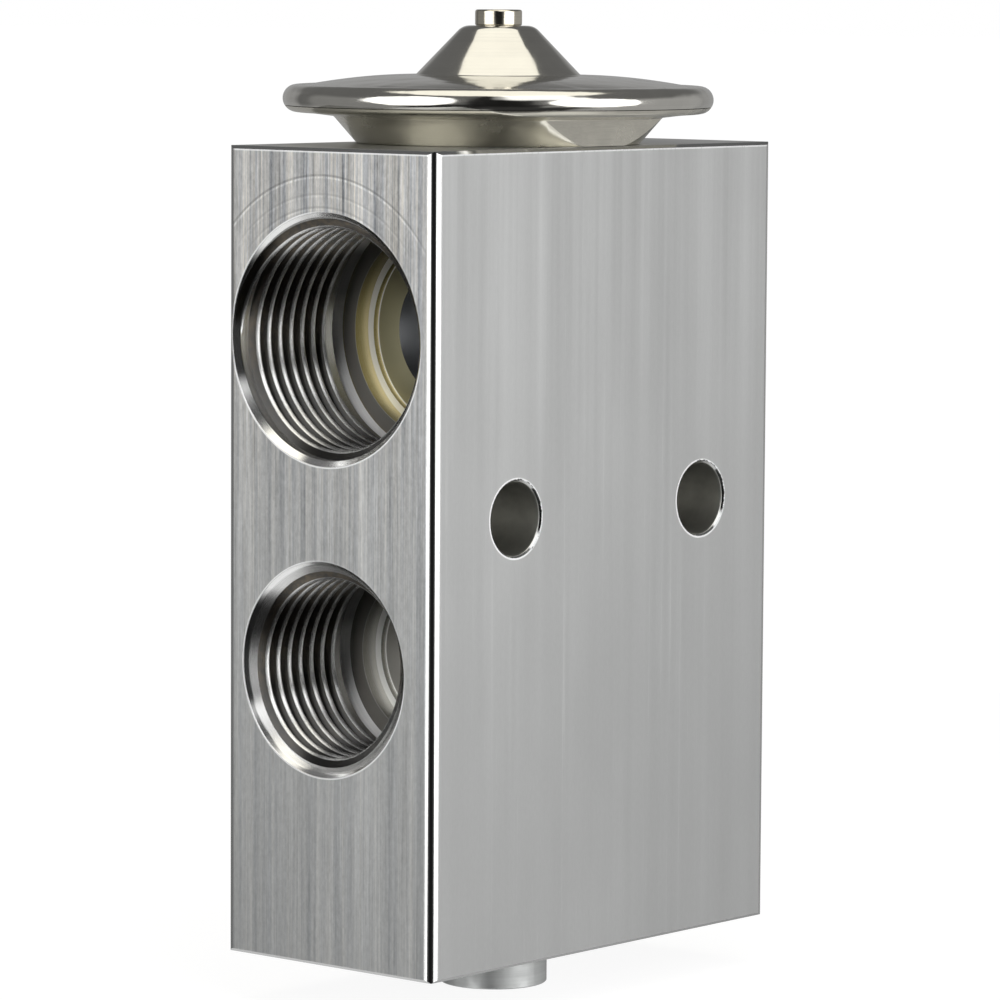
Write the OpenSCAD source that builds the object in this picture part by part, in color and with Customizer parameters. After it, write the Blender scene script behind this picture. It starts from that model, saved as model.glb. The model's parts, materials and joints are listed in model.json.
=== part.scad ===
// Block expansion valve for refrigeration and air conditioning, in millimetres.
// The origin is the centre of the footprint, at the end face of the adjusting nut.
// +Z is up along the valve axis, the suction and outlet ports open towards -Y and
// the two plain sides with the bolt holes face +X and -X.

/* [Block] */
// Width across the two plain sides
block_w = 25.5; // [25.4:0.1:30]
// Depth between the two port faces
block_d = 49; // [48:0.5:56]
// Height of the block
block_h = 75; // [75:0.5:82]
// Radius of the four upright edges
corner_r = 1.0; // [0.4:0.1:2]
// Bevel along the top and bottom edges
edge_break = 0.3; // [0.1:0.05:0.5]
// How far the block's middle lies beside the valve axis
block_off_x = 0.45; // [0:0.05:0.6]
// Place of the valve axis between the port faces
axis_y = -0.55; // [-1:0.05:0.5]

/* [Suction ports] */
// Height of the suction line's axis above the block's underside
suction_z = 57.6; // [57.4:0.1:58.2]
// Major diameter of the suction port threads
suction_thread_d = 22; // [20:0.5:22.4]
// Diameter of the seat cone at the suction mouths
suction_mouth_d = 23.2; // [22.8:0.1:24]
// Bevel at the very edge of the suction mouths
suction_bevel = 0.55; // [0.2:0.05:0.8]
// Diameter of the passage between the two suction ports
suction_core_d = 12.6; // [11:0.2:13]
// Depth of the suction port thread
suction_thread_depth = 13.0; // [11:0.2:13.4]

/* [Outlet port] */
// Height of the outlet port above the block's underside
outlet_z = 27.4; // [27.4:0.1:28]
// How far the outlet port lies beside the valve axis
outlet_off_x = -0.2; // [-0.5:0.1:0.5]
// Major diameter of the outlet port thread
outlet_thread_d = 18; // [17:0.5:18.5]
// Diameter of the seat cone at the outlet mouth
outlet_mouth_d = 19.9; // [19.2:0.1:20.4]
// Bevel at the very edge of the outlet mouth
outlet_bevel = 0.3; // [0.1:0.05:0.6]
// Diameter of the passage from the seat to the outlet port
outlet_core_d = 8; // [6:0.2:8]
// Depth of the outlet port thread
outlet_thread_depth = 12.2; // [10:0.2:12.4]

/* [Inlet port] */
// Height of the liquid inlet port above the block's underside
inlet_z = 17; // [16:0.1:17]
// Major diameter of the inlet port thread
inlet_thread_d = 16; // [14:0.5:16.5]
// Diameter of the seat cone at the inlet mouth
inlet_mouth_d = 17.8; // [17.2:0.1:18.4]
// Bevel at the very edge of the inlet mouth
inlet_bevel = 0.3; // [0.1:0.05:0.6]
// Diameter of the passage from the inlet port to the spring chamber
inlet_core_d = 7; // [5:0.2:8]
// Depth of the inlet port thread
inlet_thread_depth = 10.6; // [9:0.2:12]

/* [Port details] */
// Depth at which each mouth's seat cone ends and its thread begins
seat_cone_depth = 1.0; // [0.9:0.1:2]
// Extra radius of the groove behind each thread
relief_step = 0.2; // [0.1:0.05:0.3]
// Length of the groove behind each thread
relief_len = 1.8; // [1.4:0.1:2]
// Radius lost at the first shoulder behind the groove
shoulder_step = 1.3; // [1:0.1:1.6]
// Length of the first plain step
plain_len = 1.8; // [1.4:0.1:2]
// Radius lost at the small step before the floor
floor_step = 0.7; // [0.4:0.1:1]
// Length of the small step before the floor
floor_len = 0.6; // [0.4:0.1:0.8]

/* [Bolt holes] */
// Diameter of the two through holes
bolt_d = 6.8; // [6:0.1:7.2]
// Bevel at the mouths of the through holes
bolt_bevel = 0.2; // [0.1:0.05:0.4]
// Height of the through holes above the block's underside
bolt_z = 41.4; // [41:0.1:42]
// Distance between the through holes
bolt_spacing = 27; // [26:0.5:30]
// Middle of the hole pair, measured from the block's middle
bolt_mid_y = 0.4; // [-0.5:0.1:1]

/* [Head] */
// Radius of the head at its rolled rim
rim_r = 20.2; // [19.8:0.1:22]
// Thickness of the rolled rim
rim_t = 2.56; // [2.3:0.02:2.8]
// Height of the rim's underside above the block
rim_lift = 2.88; // [2.8:0.02:3.2]
// Radius at the foot of the neck
neck_foot_r = 13.4; // [13.2:0.1:14]
// Radius at the top of the neck
neck_top_r = 15.3; // [15.2:0.1:16]
// Gap between the neck and the block
neck_gap = 0.43; // [0.3:0.01:0.6]
// Width across the two wrench flats
flat_w = 25.9; // [25.4:0.1:26.4]
// Diameter of the thread that holds the head in the block
stem_d = 20; // [19:0.5:20]
// Length of that thread below the block's top
stem_len = 4.2; // [3.6:0.1:4.4]
// Bore through the head's stem
stem_bore_d = 13.2; // [12:0.2:14]
// Thickness of the seal ring under the head
head_seal_t = 1.5; // [1.3:0.05:1.6]
// Thickness of the diaphragm
diaphragm_t = 0.15; // [0.1:0.01:0.2]
// Depth of the diaphragm's rings
wave_h = 0.18; // [0.1:0.02:0.2]
// Number of rings pressed into the diaphragm
wave_count = 2; // [1:1:3]
// Wall of the head cover
cover_wall = 0.9; // [0.7:0.05:1]
// Height of the dome's crown above the block
dome_lift = 6.4; // [6.2:0.05:6.8]
// Radius at the foot of the cover's cone
cone_foot_r = 7.6; // [7.2:0.1:8]
// Height of the cone's top above the block
cone_lift = 11; // [10.5:0.1:12]
// Radius of the cone's flat top
cone_top_r = 2.7; // [2.6:0.1:3]
// Diameter of the filling tube's collar
collar_d = 4.4; // [4:0.1:4.8]
// Height of the filling tube above the cone
collar_h = 1.5; // [1.2:0.1:2]
// Bore of the filling tube
tube_bore_d = 1.8; // [1.4:0.1:2]

/* [Valve train] */
// Diameter of the sensing rod
rod_d = 6.4; // [6:0.1:6.6]
// Diameter of the push pin
pin_d = 2.8; // [2:0.1:3]
// Diameter of the valve ball
ball_d = 6; // [5.6:0.1:6.2]
// Diameter of the hole in the seat ring
orifice_d = 4; // [3.8:0.1:4.2]
// Outer diameter of the seat ring
seat_ring_d = 8; // [7.6:0.1:8.6]
// Height of the seat ring
seat_ring_h = 1.9; // [1.6:0.1:1.9]
// Radius of the thrust disc under the diaphragm
disc_r = 11.5; // [10:0.1:11.6]
// Thickness of the thrust disc
disc_t = 1.2; // [1:0.05:1.3]
// Full lift of the valve ball
lift = 0.6; // [0.3:0.05:0.6]

/* [Spring and adjuster] */
// Diameter of the spring chamber
chamber_d = 12; // [11.4:0.2:12]
// Mean radius of the superheat spring
spring_r = 3.8; // [3.6:0.05:3.9]
// Wire diameter of the superheat spring
wire_d = 1.0; // [0.8:0.05:1.1]
// Number of turns of the superheat spring
spring_turns = 6.5; // [5:0.5:7]
// Diameter of the adjusting nut's thread
nut_thread_d = 16; // [15.4:0.1:16]
// Diameter of the adjusting nut's plain end
nut_foot_d = 10.2; // [9:0.1:11]
// How far the adjusting nut stands out of the block
nut_foot_h = 4.6; // [4:0.1:6]
// Size across flats of the hexagon socket
hex_af = 5; // [4:0.5:5]
// Depth of the hexagon socket
hex_depth = 4.2; // [3.5:0.1:4.6]
// Diameter of the spring cup inside the adjusting nut
cup_d = 9.8; // [9.6:0.1:10]
// Travel of the adjusting nut up or down from its rest
adjust_travel = 0.75; // [0.25:0.05:0.75]

/* [Fits] */
// Radial gap of a thread or a loose fit
thread_gap = 0.05; // [0.03:0.01:0.08]
// Radial gap of a sliding or turning fit
slide_gap = 0.05; // [0.03:0.01:0.08]
// Gap between faces that rest on each other
face_gap = 0.02; // [0.01:0.01:0.05]

/* [Hidden] */

// Smoothness of round faces, and how far a cut runs past the face it opens
ROUND = 72;
PAST = 1;

// Heights in the block, from its underside
block_z = nut_foot_h;
suction_floor = suction_thread_depth + relief_len + plain_len + floor_len;
stem_floor = block_h - stem_len - 0.4;
seal_pocket_top = suction_z - suction_core_d / 2;
seal_pocket_h = 4.6;
seal_pocket_z = seal_pocket_top - seal_pocket_h;
seal_pocket_r = 5.2;
rod_bore_z = bolt_z - 2.8;
outlet_top = outlet_z + outlet_core_d / 2;
seat_top = outlet_z - outlet_core_d / 2 - 0.2;
seat_z = seat_top - seat_ring_h;

// Adjusting nut, from the block's underside
nut_thread_z = 0.4;
nut_thread_h = 4.4;
nut_neck_r = 6.9;
nut_top = 9.3;
nut_bore_h = nut_thread_z + nut_thread_h + adjust_travel + 0.45;
neck_bore_h = nut_top + adjust_travel + 0.45;
groove_z = 7.2;
groove_h = 1.5;
groove_r = 5.75;
cup_floor = 2.4;
spring_seat_t = 1.0;

// Ball, seat cone at 45 degrees, and what carries the ball
cone_h = 0.5;
ball_contact = ball_d / 2 * sin(45);
ball_z = seat_z + cone_h + orifice_d / 2 - 2 * ball_contact - 1.5 * face_gap;
carrier_flange_z = ball_z - ball_d / 2 - 0.6;
carrier_flange_t = 1.2;
carrier_flange_r = 4.9;
carrier_spigot_h = 1.2;
carrier_lip = 1.2;
damper_t = 0.25;

// Sensing rod, push pin and seals on it
rod_z = rod_bore_z + 1.8;
ring_wire_r = 0.9;
washer_t = 0.8;
retainer_t = 0.5;

// Head heights above the block's top, and the arc of the rolled rim
rim_arc = rim_t / 2;
rim_mid_r = rim_r - rim_arc;
rim_mid_z = rim_lift + rim_arc;
joint_z = rim_lift + 0.62;
diaphragm_r = rim_mid_r + 0.1;
clamp_r = 15.8;
cavity_floor = 1.2;
cavity_r = 12.3;
disc_top = joint_z - face_gap;
hub_drop = 3.6;
hub_r = 4.4;
spigot_r = 2.2;
spigot_h = 2.2;
oring_pocket_r = stem_d / 2 - thread_gap + head_seal_t + 2 * face_gap;
oring_pocket_h = head_seal_t - neck_gap + 2 * face_gap;

// Points of an arc around a centre, from one angle to another
function arc(cx, cy, r, from, to, steps) =
    [for (i = [0 : steps]) let (a = from + (to - from) * i / steps) [cx + r * cos(a), cy + r * sin(a)]];

// Places what follows on the valve axis, at a height above the block's underside
module on_axis(z = 0) {
    translate([0, axis_y, block_z + z]) children();
}

// A turned piece, from its outline as radius and height
module turned(outline) {
    rotate_extrude($fn = ROUND) polygon(outline);
}

// A plain round bar or hole along Z
module bar(r, z0, z1) {
    translate([0, 0, z0]) cylinder(r = r, h = z1 - z0, $fn = ROUND);
}

// Valve block

// The stepped hollow of one port, as radius and depth from the face it opens
module port_hollow(thread_r, mouth_r, bevel, thread_depth) {
    relief_r = thread_r + relief_step;
    relief_end = thread_depth + relief_len;
    plain_r = thread_r - shoulder_step;
    plain_end = relief_end + plain_len;
    floor_r = plain_r - floor_step;
    floor_end = plain_end + floor_len;
    turned([[0, -PAST], [mouth_r, -PAST], [mouth_r, 0], [mouth_r - bevel, bevel],
            [thread_r, seat_cone_depth], [thread_r, thread_depth], [relief_r, thread_depth],
            [relief_r, relief_end], [plain_r, relief_end], [plain_r, plain_end],
            [floor_r, plain_end], [floor_r, floor_end], [0, floor_end]]);
}

// Turns a hollow so that it opens in the front (side -1) or the rear face (side 1)
module in_port_face(side, z) {
    translate([0, side * block_d / 2, block_z + z]) rotate([side * 90, 0, 0]) children();
}

// A cross passage along Y between two places, at a height in the block
module passage(r, z, y0, y1) {
    translate([0, y0, block_z + z]) rotate([-90, 0, 0]) cylinder(r = r, h = y1 - y0, $fn = ROUND);
}

// The block's outline seen from above, with its four rounded corners
module block_outline() {
    x = block_w / 2 - corner_r;
    y = block_d / 2 - corner_r;
    difference() {
        square([block_w, block_d], center = true);
        for (corner = [[x, y, 0], [-x, y, 90], [-x, -y, 180], [x, -y, 270]])
            translate([corner[0], corner[1]]) rotate(corner[2]) difference() {
                square(corner_r + PAST);
                circle(r = corner_r, $fn = ROUND);
            }
    }
}

// The block's height with its bevelled edges, seen from one side of a given width
module bevelled_height(width) {
    w = width / 2;
    polygon([[edge_break - w, 0], [w - edge_break, 0], [w + PAST, edge_break + PAST],
             [w + PAST, block_h - edge_break - PAST], [w - edge_break, block_h],
             [edge_break - w, block_h], [-w - PAST, block_h - edge_break - PAST],
             [-w - PAST, edge_break + PAST]]);
}

// One through hole for a bolt, with a bevel at both mouths
module bolt_hole() {
    r = bolt_d / 2;
    x0 = block_off_x - block_w / 2;
    rotate([0, 90, 0]) turned([[0, x0 - PAST], [r + bolt_bevel, x0 - PAST], [r + bolt_bevel, x0],
        [r, x0 + bolt_bevel], [r, x0 + block_w - bolt_bevel], [r + bolt_bevel, x0 + block_w],
        [r + bolt_bevel, x0 + block_w + PAST], [0, x0 + block_w + PAST]]);
}

// The stepped bore along the valve axis, from the underside up to the suction passage
module lower_bore() {
    thread_r = nut_thread_d / 2;
    neck_r = nut_neck_r + slide_gap * 2;
    chamber_r = chamber_d / 2;
    pin_r = pin_d / 2 + slide_gap;
    rod_r = rod_d / 2 + slide_gap;
    on_axis() turned([[0, -PAST], [thread_r + 0.5, -PAST], [thread_r + 0.5, 0], [thread_r, 0.5],
        [thread_r, nut_bore_h], [neck_r, nut_bore_h], [neck_r, neck_bore_h],
        [chamber_r, neck_bore_h], [chamber_r, seat_z], [seat_ring_d / 2, seat_z],
        [seat_ring_d / 2, seat_top], [orifice_d / 2, seat_top], [orifice_d / 2, outlet_z],
        [pin_r, outlet_z], [pin_r, rod_bore_z], [rod_r, rod_bore_z], [rod_r, seal_pocket_z],
        [seal_pocket_r, seal_pocket_z], [seal_pocket_r, suction_z], [0, suction_z]]);
}

// The bore for the head's thread, with the pocket for its seal
module upper_bore() {
    on_axis() turned([[0, suction_z], [stem_bore_d / 2 - 1, suction_z],
        [stem_bore_d / 2 - 1, stem_floor], [stem_d / 2, stem_floor],
        [stem_d / 2, block_h - oring_pocket_h], [oring_pocket_r, block_h - oring_pocket_h],
        [oring_pocket_r, block_h + PAST], [0, block_h + PAST]]);
}

// A cut length of bar stock, bevelled along its top and bottom edges
module block_body() {
    translate([block_off_x, 0, block_z]) intersection() {
        translate([0, 0, -PAST]) linear_extrude(block_h + 2 * PAST) block_outline();
        translate([0, block_d / 2 + PAST, 0]) rotate([90, 0, 0])
            linear_extrude(block_d + 2 * PAST) bevelled_height(block_w);
        translate([-block_w / 2 - PAST, 0, 0]) rotate([90, 0, 90])
            linear_extrude(block_w + 2 * PAST) bevelled_height(block_d);
    }
}

module valve_block() {
    color("silver") difference() {
        block_body();
        for (side = [-1, 1])
            in_port_face(side, suction_z)
                port_hollow(suction_thread_d / 2, suction_mouth_d / 2, suction_bevel,
                            suction_thread_depth);
        translate([outlet_off_x, 0, 0]) {
            in_port_face(-1, outlet_z)
                port_hollow(outlet_thread_d / 2, outlet_mouth_d / 2, outlet_bevel,
                            outlet_thread_depth);
            passage(outlet_core_d / 2, outlet_z, outlet_thread_depth - block_d / 2, axis_y + 1);
        }
        in_port_face(1, inlet_z)
            port_hollow(inlet_thread_d / 2, inlet_mouth_d / 2, inlet_bevel, inlet_thread_depth);
        passage(suction_core_d / 2, suction_z, suction_floor - PAST - block_d / 2,
                block_d / 2 - suction_floor + PAST);
        passage(inlet_core_d / 2, inlet_z, axis_y, block_d / 2 - inlet_thread_depth);
        for (side = [-1, 1])
            translate([0, bolt_mid_y + side * bolt_spacing / 2, block_z + bolt_z]) bolt_hole();
        lower_bore();
        upper_bore();
    }
}

// Head

// Turns an outline whose heights count from the block's top
module on_head() {
    on_axis(block_h) children();
}

module head_housing() {
    stem_r = stem_d / 2 - thread_gap;
    split = asin((joint_z - rim_mid_z) / rim_arc);
    outline = concat(
        [[stem_bore_d / 2, -stem_len], [stem_r - 0.5, -stem_len], [stem_r, 0.5 - stem_len],
         [stem_r, neck_gap], [neck_foot_r, neck_gap], [neck_top_r, rim_lift - 0.4],
         [rim_mid_r - 1, rim_lift - 0.05]],
        arc(rim_mid_r, rim_mid_z, rim_arc, -90, split, 10),
        [[clamp_r, joint_z], [cavity_r + 0.6, joint_z - 0.8], [cavity_r, joint_z - 1.2],
         [cavity_r, cavity_floor], [stem_bore_d / 2, cavity_floor]]);
    color("dimgray") on_head() intersection() {
        turned(outline);
        union() {
            translate([-flat_w / 2, -rim_r - PAST, -stem_len - PAST])
                cube([flat_w, 2 * (rim_r + PAST), stem_len + PAST + rim_lift - 0.4]);
            bar(rim_r + PAST, rim_lift - 0.4, rim_lift + rim_t + PAST);
        }
    }
}

module head_cover() {
    split = asin((joint_z - rim_mid_z) / rim_arc);
    clamp_z = joint_z + diaphragm_t;
    hole_r = tube_bore_d / 2 + 0.6 + face_gap;
    top = cone_lift;
    outline = concat(
        arc(rim_mid_r, rim_mid_z, rim_arc, split + 1, 90, 14),
        [[rim_mid_r - 0.6, rim_lift + rim_t - 0.1], [11.8, dome_lift - 0.12], [9.5, dome_lift],
         [cone_foot_r, dome_lift]],
        arc(cone_top_r, top - 1.5, 1.5, 44, 90, 6),
        [[hole_r, top], [hole_r, top - cover_wall], [cone_top_r - 0.6, top - cover_wall],
         [cone_foot_r - cover_wall * 1.2, dome_lift - cover_wall],
         [11.8, dome_lift - 0.12 - cover_wall], [clamp_r, clamp_z + 0.5], [clamp_r + 0.3, clamp_z],
         [diaphragm_r + face_gap, clamp_z], [diaphragm_r + face_gap, joint_z + face_gap]]);
    color("lightgray") on_head() turned(outline);
}

module diaphragm() {
    inner = disc_r + 0.6;
    span = clamp_r - 0.4 - inner;
    steps = 8 * wave_count;
    wave = [for (i = [0 : steps])
        [inner + span * i / steps, joint_z + wave_h * sin(360 * wave_count * i / steps)]];
    low = concat([[0, joint_z]], wave, [[diaphragm_r, joint_z]]);
    high = [for (i = [len(low) - 1 : -1 : 0]) [low[i][0], low[i][1] + diaphragm_t]];
    color("gainsboro") on_head() turned(concat(low, high));
}

module charge_tube() {
    bore_r = tube_bore_d / 2;
    top = cone_lift + collar_h;
    color("tan") on_head() turned([[bore_r, cone_lift - cover_wall - 1.2],
        [bore_r + 0.6, cone_lift - cover_wall - 1.2], [bore_r + 0.6, cone_lift + face_gap],
        [collar_d / 2 - 0.1, cone_lift + face_gap], [collar_d / 2, cone_lift + 0.12],
        [collar_d / 2, top - 0.12], [collar_d / 2 - 0.12, top], [bore_r + 0.2, top],
        [bore_r, top - 0.2]]);
}

module charge_plug() {
    top = cone_lift + collar_h;
    r = tube_bore_d / 2 - face_gap;
    color("dimgray") on_head() turned([[0, cone_lift - 0.6], [r - 0.3, cone_lift - 0.6],
        [r, cone_lift - 0.2], [r, top - 0.45], [r - 0.25, top - 0.2], [0, top - 0.12]]);
}

module thrust_disc() {
    holes_r = 7.6;
    foot = disc_top - disc_t;
    color("darkgray") on_head() difference() {
        turned([[0, foot - hub_drop], [hub_r - 0.3, foot - hub_drop], [hub_r, foot - hub_drop + 0.3],
                [hub_r, foot - 0.4], [hub_r + 0.4, foot], [disc_r - 0.4, foot],
                [disc_r, foot + 0.3], [disc_r, disc_top - 0.2], [disc_r - 0.4, disc_top],
                [0, disc_top]]);
        bar(spigot_r + face_gap, foot - hub_drop - PAST, foot - hub_drop + spigot_h + 0.2);
        for (i = [0 : 5])
            rotate([0, 0, 60 * i]) translate([holes_r, 0, 0]) bar(0.8, foot - PAST, disc_top + PAST);
    }
}

module head_seal() {
    r = head_seal_t / 2;
    color("black") on_head() rotate_extrude($fn = ROUND)
        translate([oring_pocket_r - face_gap - r, neck_gap - face_gap - r]) circle(r = r, $fn = 32);
}

// Valve train

module sensing_rod() {
    r = rod_d / 2;
    top = block_h + disc_top - disc_t - hub_drop;
    color("gainsboro") on_axis() difference() {
        turned([[0, rod_z], [r - 0.4, rod_z], [r, rod_z + 0.4], [r, top - 0.3], [r - 0.3, top],
                [spigot_r, top], [spigot_r, top + spigot_h - 0.2], [spigot_r - 0.2, top + spigot_h],
                [0, top + spigot_h]]);
        bar(pin_d / 2 + face_gap, rod_z - PAST, rod_z + 3);
    }
}

module push_pin() {
    r = pin_d / 2;
    foot = ball_z + ball_d / 2 + face_gap / 2;
    color("lightsteelblue") on_axis() turned([[0, foot], [r - 0.3, foot], [r, foot + 0.3],
        [r, rod_z + 2.6], [r - 0.3, rod_z + 2.9], [0, rod_z + 2.9]]);
}

module rod_o_ring() {
    color("black") on_axis(seal_pocket_z + ring_wire_r + face_gap) rotate_extrude($fn = ROUND)
        translate([rod_d / 2 + slide_gap + ring_wire_r, 0]) circle(r = ring_wire_r, $fn = 32);
}

module seal_washer() {
    z = seal_pocket_z + 2 * (ring_wire_r + face_gap);
    color("ivory") on_axis() difference() {
        bar(seal_pocket_r - 0.05, z, z + washer_t);
        bar(rod_d / 2 + 0.15, z - PAST, z + washer_t + PAST);
    }
}

module seal_retainer() {
    z = seal_pocket_z + 2 * (ring_wire_r + face_gap) + washer_t + face_gap;
    tooth_w = 1.5;
    color("steelblue") on_axis() difference() {
        turned([[rod_d / 2 + 0.5, z], [seal_pocket_r - 0.05, z], [seal_pocket_r - 0.05, z + 0.2],
                [rod_d / 2 + 1.1, z + retainer_t + 0.4], [rod_d / 2 + 0.5, z + retainer_t + 0.4]]);
        turned([[0, z + retainer_t - 0.1], [rod_d / 2 + 0.4, z + retainer_t - 0.1],
                [rod_d / 2 + 1, z + retainer_t + PAST], [0, z + retainer_t + PAST]]);
        for (i = [0 : 5])
            rotate([0, 0, 60 * i]) translate([seal_pocket_r - 0.6, -tooth_w / 2, z - PAST])
                cube([PAST, tooth_w, retainer_t + 3 * PAST]);
    }
}

module seat_ring() {
    color("goldenrod") on_axis() turned([[orifice_d / 2 + cone_h, seat_z],
        [seat_ring_d / 2 - 0.3, seat_z], [seat_ring_d / 2 - face_gap, seat_z + 0.3],
        [seat_ring_d / 2 - face_gap, seat_top - face_gap], [orifice_d / 2 + 0.2, seat_top - face_gap],
        [orifice_d / 2, seat_top - 0.2], [orifice_d / 2, seat_z + cone_h]]);
}

module valve_ball() {
    color("silver") on_axis(ball_z) sphere(d = ball_d, $fn = ROUND);
}

module ball_carrier() {
    spigot_low = carrier_flange_z - carrier_spigot_h;
    flange_top = carrier_flange_z + carrier_flange_t;
    spigot_out = spring_r - wire_d / 2 - 0.15;
    cup_r = ball_d / 2 + 0.5;
    color("darkkhaki") on_axis() difference() {
        turned([[0, spigot_low], [spigot_out - 0.3, spigot_low], [spigot_out, spigot_low + 0.3],
                [spigot_out, carrier_flange_z], [carrier_flange_r, carrier_flange_z],
                [carrier_flange_r, flange_top], [cup_r, flange_top],
                [cup_r, flange_top + carrier_lip], [0, flange_top + carrier_lip]]);
        translate([0, 0, ball_z]) sphere(d = ball_d + 2 * face_gap, $fn = ROUND);
    }
}

// A spring plate on the carrier, with four fingers that rub along the chamber wall
module damper_spring() {
    z = carrier_flange_z + carrier_flange_t + face_gap;
    inner = ball_d / 2 + 0.55;
    reach = chamber_d / 2 - slide_gap;
    rise = 2.0;
    finger_w = 2.4;
    strip = [[carrier_flange_r - 0.6, z], [reach - 0.4, z + 0.5], [reach, z + rise],
             [reach - damper_t, z + rise], [reach - 0.4 - damper_t, z + 0.5 + damper_t],
             [carrier_flange_r - 0.8, z + damper_t]];
    color("lightsteelblue") on_axis() {
        difference() {
            bar(carrier_flange_r - 0.3, z, z + damper_t);
            bar(inner, z - PAST, z + PAST);
        }
        intersection() {
            turned(strip);
            for (i = [0 : 1])
                rotate([0, 0, 45 + 90 * i])
                    translate([-chamber_d / 2, -finger_w / 2, z - PAST])
                        cube([chamber_d, finger_w, rise + 2 * PAST]);
        }
    }
}

// Spring and adjuster

spring_low = cup_floor + spring_seat_t + face_gap;
spring_high = carrier_flange_z - face_gap;

// Height of the wire's centre after a number of turns: flat for the first and last turn
function coil_rise(t) = t < 1 ? 0 : t > spring_turns - 1 ? 1 : (t - 1) / (spring_turns - 2);

module superheat_spring() {
    sides = 8;
    per_turn = 18;
    rings = round(spring_turns * per_turn);
    low = spring_low + wire_d / 2;
    free = spring_high - spring_low - 3 * wire_d - 2 * face_gap;
    points = [for (i = [0 : rings]) let (t = i / per_turn, a = 360 * t,
            z = low + coil_rise(t) * free + (min(t, 1) + max(t - spring_turns + 1, 0)) * (wire_d + face_gap))
        for (k = [0 : sides - 1]) let (b = 360 * k / sides, r = spring_r + wire_d / 2 * cos(b))
            [r * cos(a), r * sin(a), z + wire_d / 2 * sin(b)]];
    skin = [for (i = [0 : rings - 1]) for (k = [0 : sides - 1]) let (n = (k + 1) % sides)
        [i * sides + k, i * sides + n, (i + 1) * sides + n, (i + 1) * sides + k]];
    ends = [[for (k = [sides - 1 : -1 : 0]) k], [for (k = [0 : sides - 1]) rings * sides + k]];
    color("slategray") on_axis() polyhedron(points, concat(skin, ends), convexity = 10);
}

module spring_seat() {
    color("lightslategray") on_axis() turned([[0.8, cup_floor + face_gap],
        [cup_d / 2 - 0.3, cup_floor + face_gap], [cup_d / 2 - 0.1, cup_floor + 0.2],
        [cup_d / 2 - 0.1, cup_floor + spring_seat_t], [spring_r - wire_d / 2 - 0.1, cup_floor + spring_seat_t],
        [spring_r - wire_d / 2 - 0.4, cup_floor + spring_seat_t + 0.7], [0.8, cup_floor + spring_seat_t + 0.7]]);
}

module adjusting_nut() {
    foot_r = nut_foot_d / 2;
    thread_r = nut_thread_d / 2 - thread_gap;
    thread_top = nut_thread_z + nut_thread_h;
    cup_r = cup_d / 2;
    color("silver") on_axis() difference() {
        turned([[0, -nut_foot_h], [foot_r - 0.1, -nut_foot_h], [foot_r, 0.1 - nut_foot_h],
                [foot_r, nut_thread_z], [thread_r - 0.5, nut_thread_z], [thread_r, nut_thread_z + 0.5],
                [thread_r, thread_top - 0.5], [thread_r - 0.5, thread_top], [nut_neck_r, thread_top],
                [nut_neck_r, groove_z], [groove_r, groove_z], [groove_r, groove_z + groove_h],
                [nut_neck_r, groove_z + groove_h], [nut_neck_r, nut_top - 0.2],
                [nut_neck_r - 0.2, nut_top], [cup_r + 0.2, nut_top], [cup_r, nut_top - 0.2],
                [cup_r, cup_floor], [0, cup_floor]]);
        translate([0, 0, -nut_foot_h - PAST])
            cylinder(d = hex_af / cos(30), h = hex_depth + PAST, $fn = 6);
    }
}

module adjuster_o_ring() {
    outer = nut_neck_r + slide_gap;
    inner = groove_r + face_gap;
    half = groove_h / 2 - face_gap;
    soft = 0.35;
    color("black") on_axis(groove_z + groove_h / 2) turned([[inner, soft - half],
        [inner + soft, -half], [outer - soft, -half], [outer, soft - half],
        [outer, half - soft], [outer - soft, half], [inner + soft, half], [inner, half - soft]]);
}

valve_block();
head_housing();
head_cover();
diaphragm();
charge_tube();
charge_plug();
thrust_disc();
head_seal();
sensing_rod();
push_pin();
rod_o_ring();
seal_washer();
seal_retainer();
seat_ring();
valve_ball();
ball_carrier();
damper_spring();
superheat_spring();
spring_seat();
adjusting_nut();
adjuster_o_ring();
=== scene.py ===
"""A block expansion valve: finishes, port threads, the bright head and the spring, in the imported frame."""
import json
import math

import bmesh
import bpy
from mathutils import Matrix, Vector


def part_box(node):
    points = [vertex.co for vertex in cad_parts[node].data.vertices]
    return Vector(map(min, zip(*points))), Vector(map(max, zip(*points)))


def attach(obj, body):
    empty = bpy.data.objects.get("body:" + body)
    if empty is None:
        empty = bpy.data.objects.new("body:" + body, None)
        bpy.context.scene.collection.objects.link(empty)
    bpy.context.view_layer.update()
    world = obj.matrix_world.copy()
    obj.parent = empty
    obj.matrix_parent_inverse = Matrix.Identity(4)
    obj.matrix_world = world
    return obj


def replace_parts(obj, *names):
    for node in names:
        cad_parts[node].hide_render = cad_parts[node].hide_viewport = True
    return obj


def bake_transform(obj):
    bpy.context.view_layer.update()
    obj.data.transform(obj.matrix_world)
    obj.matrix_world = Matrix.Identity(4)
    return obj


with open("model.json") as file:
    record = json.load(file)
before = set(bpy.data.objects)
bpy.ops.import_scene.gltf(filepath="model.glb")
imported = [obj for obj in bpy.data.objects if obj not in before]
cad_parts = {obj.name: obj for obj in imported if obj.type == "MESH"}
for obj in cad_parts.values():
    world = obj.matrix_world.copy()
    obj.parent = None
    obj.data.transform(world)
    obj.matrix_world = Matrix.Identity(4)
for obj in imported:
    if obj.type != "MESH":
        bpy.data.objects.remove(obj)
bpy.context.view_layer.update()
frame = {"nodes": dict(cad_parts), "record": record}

MM = 0.001

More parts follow.
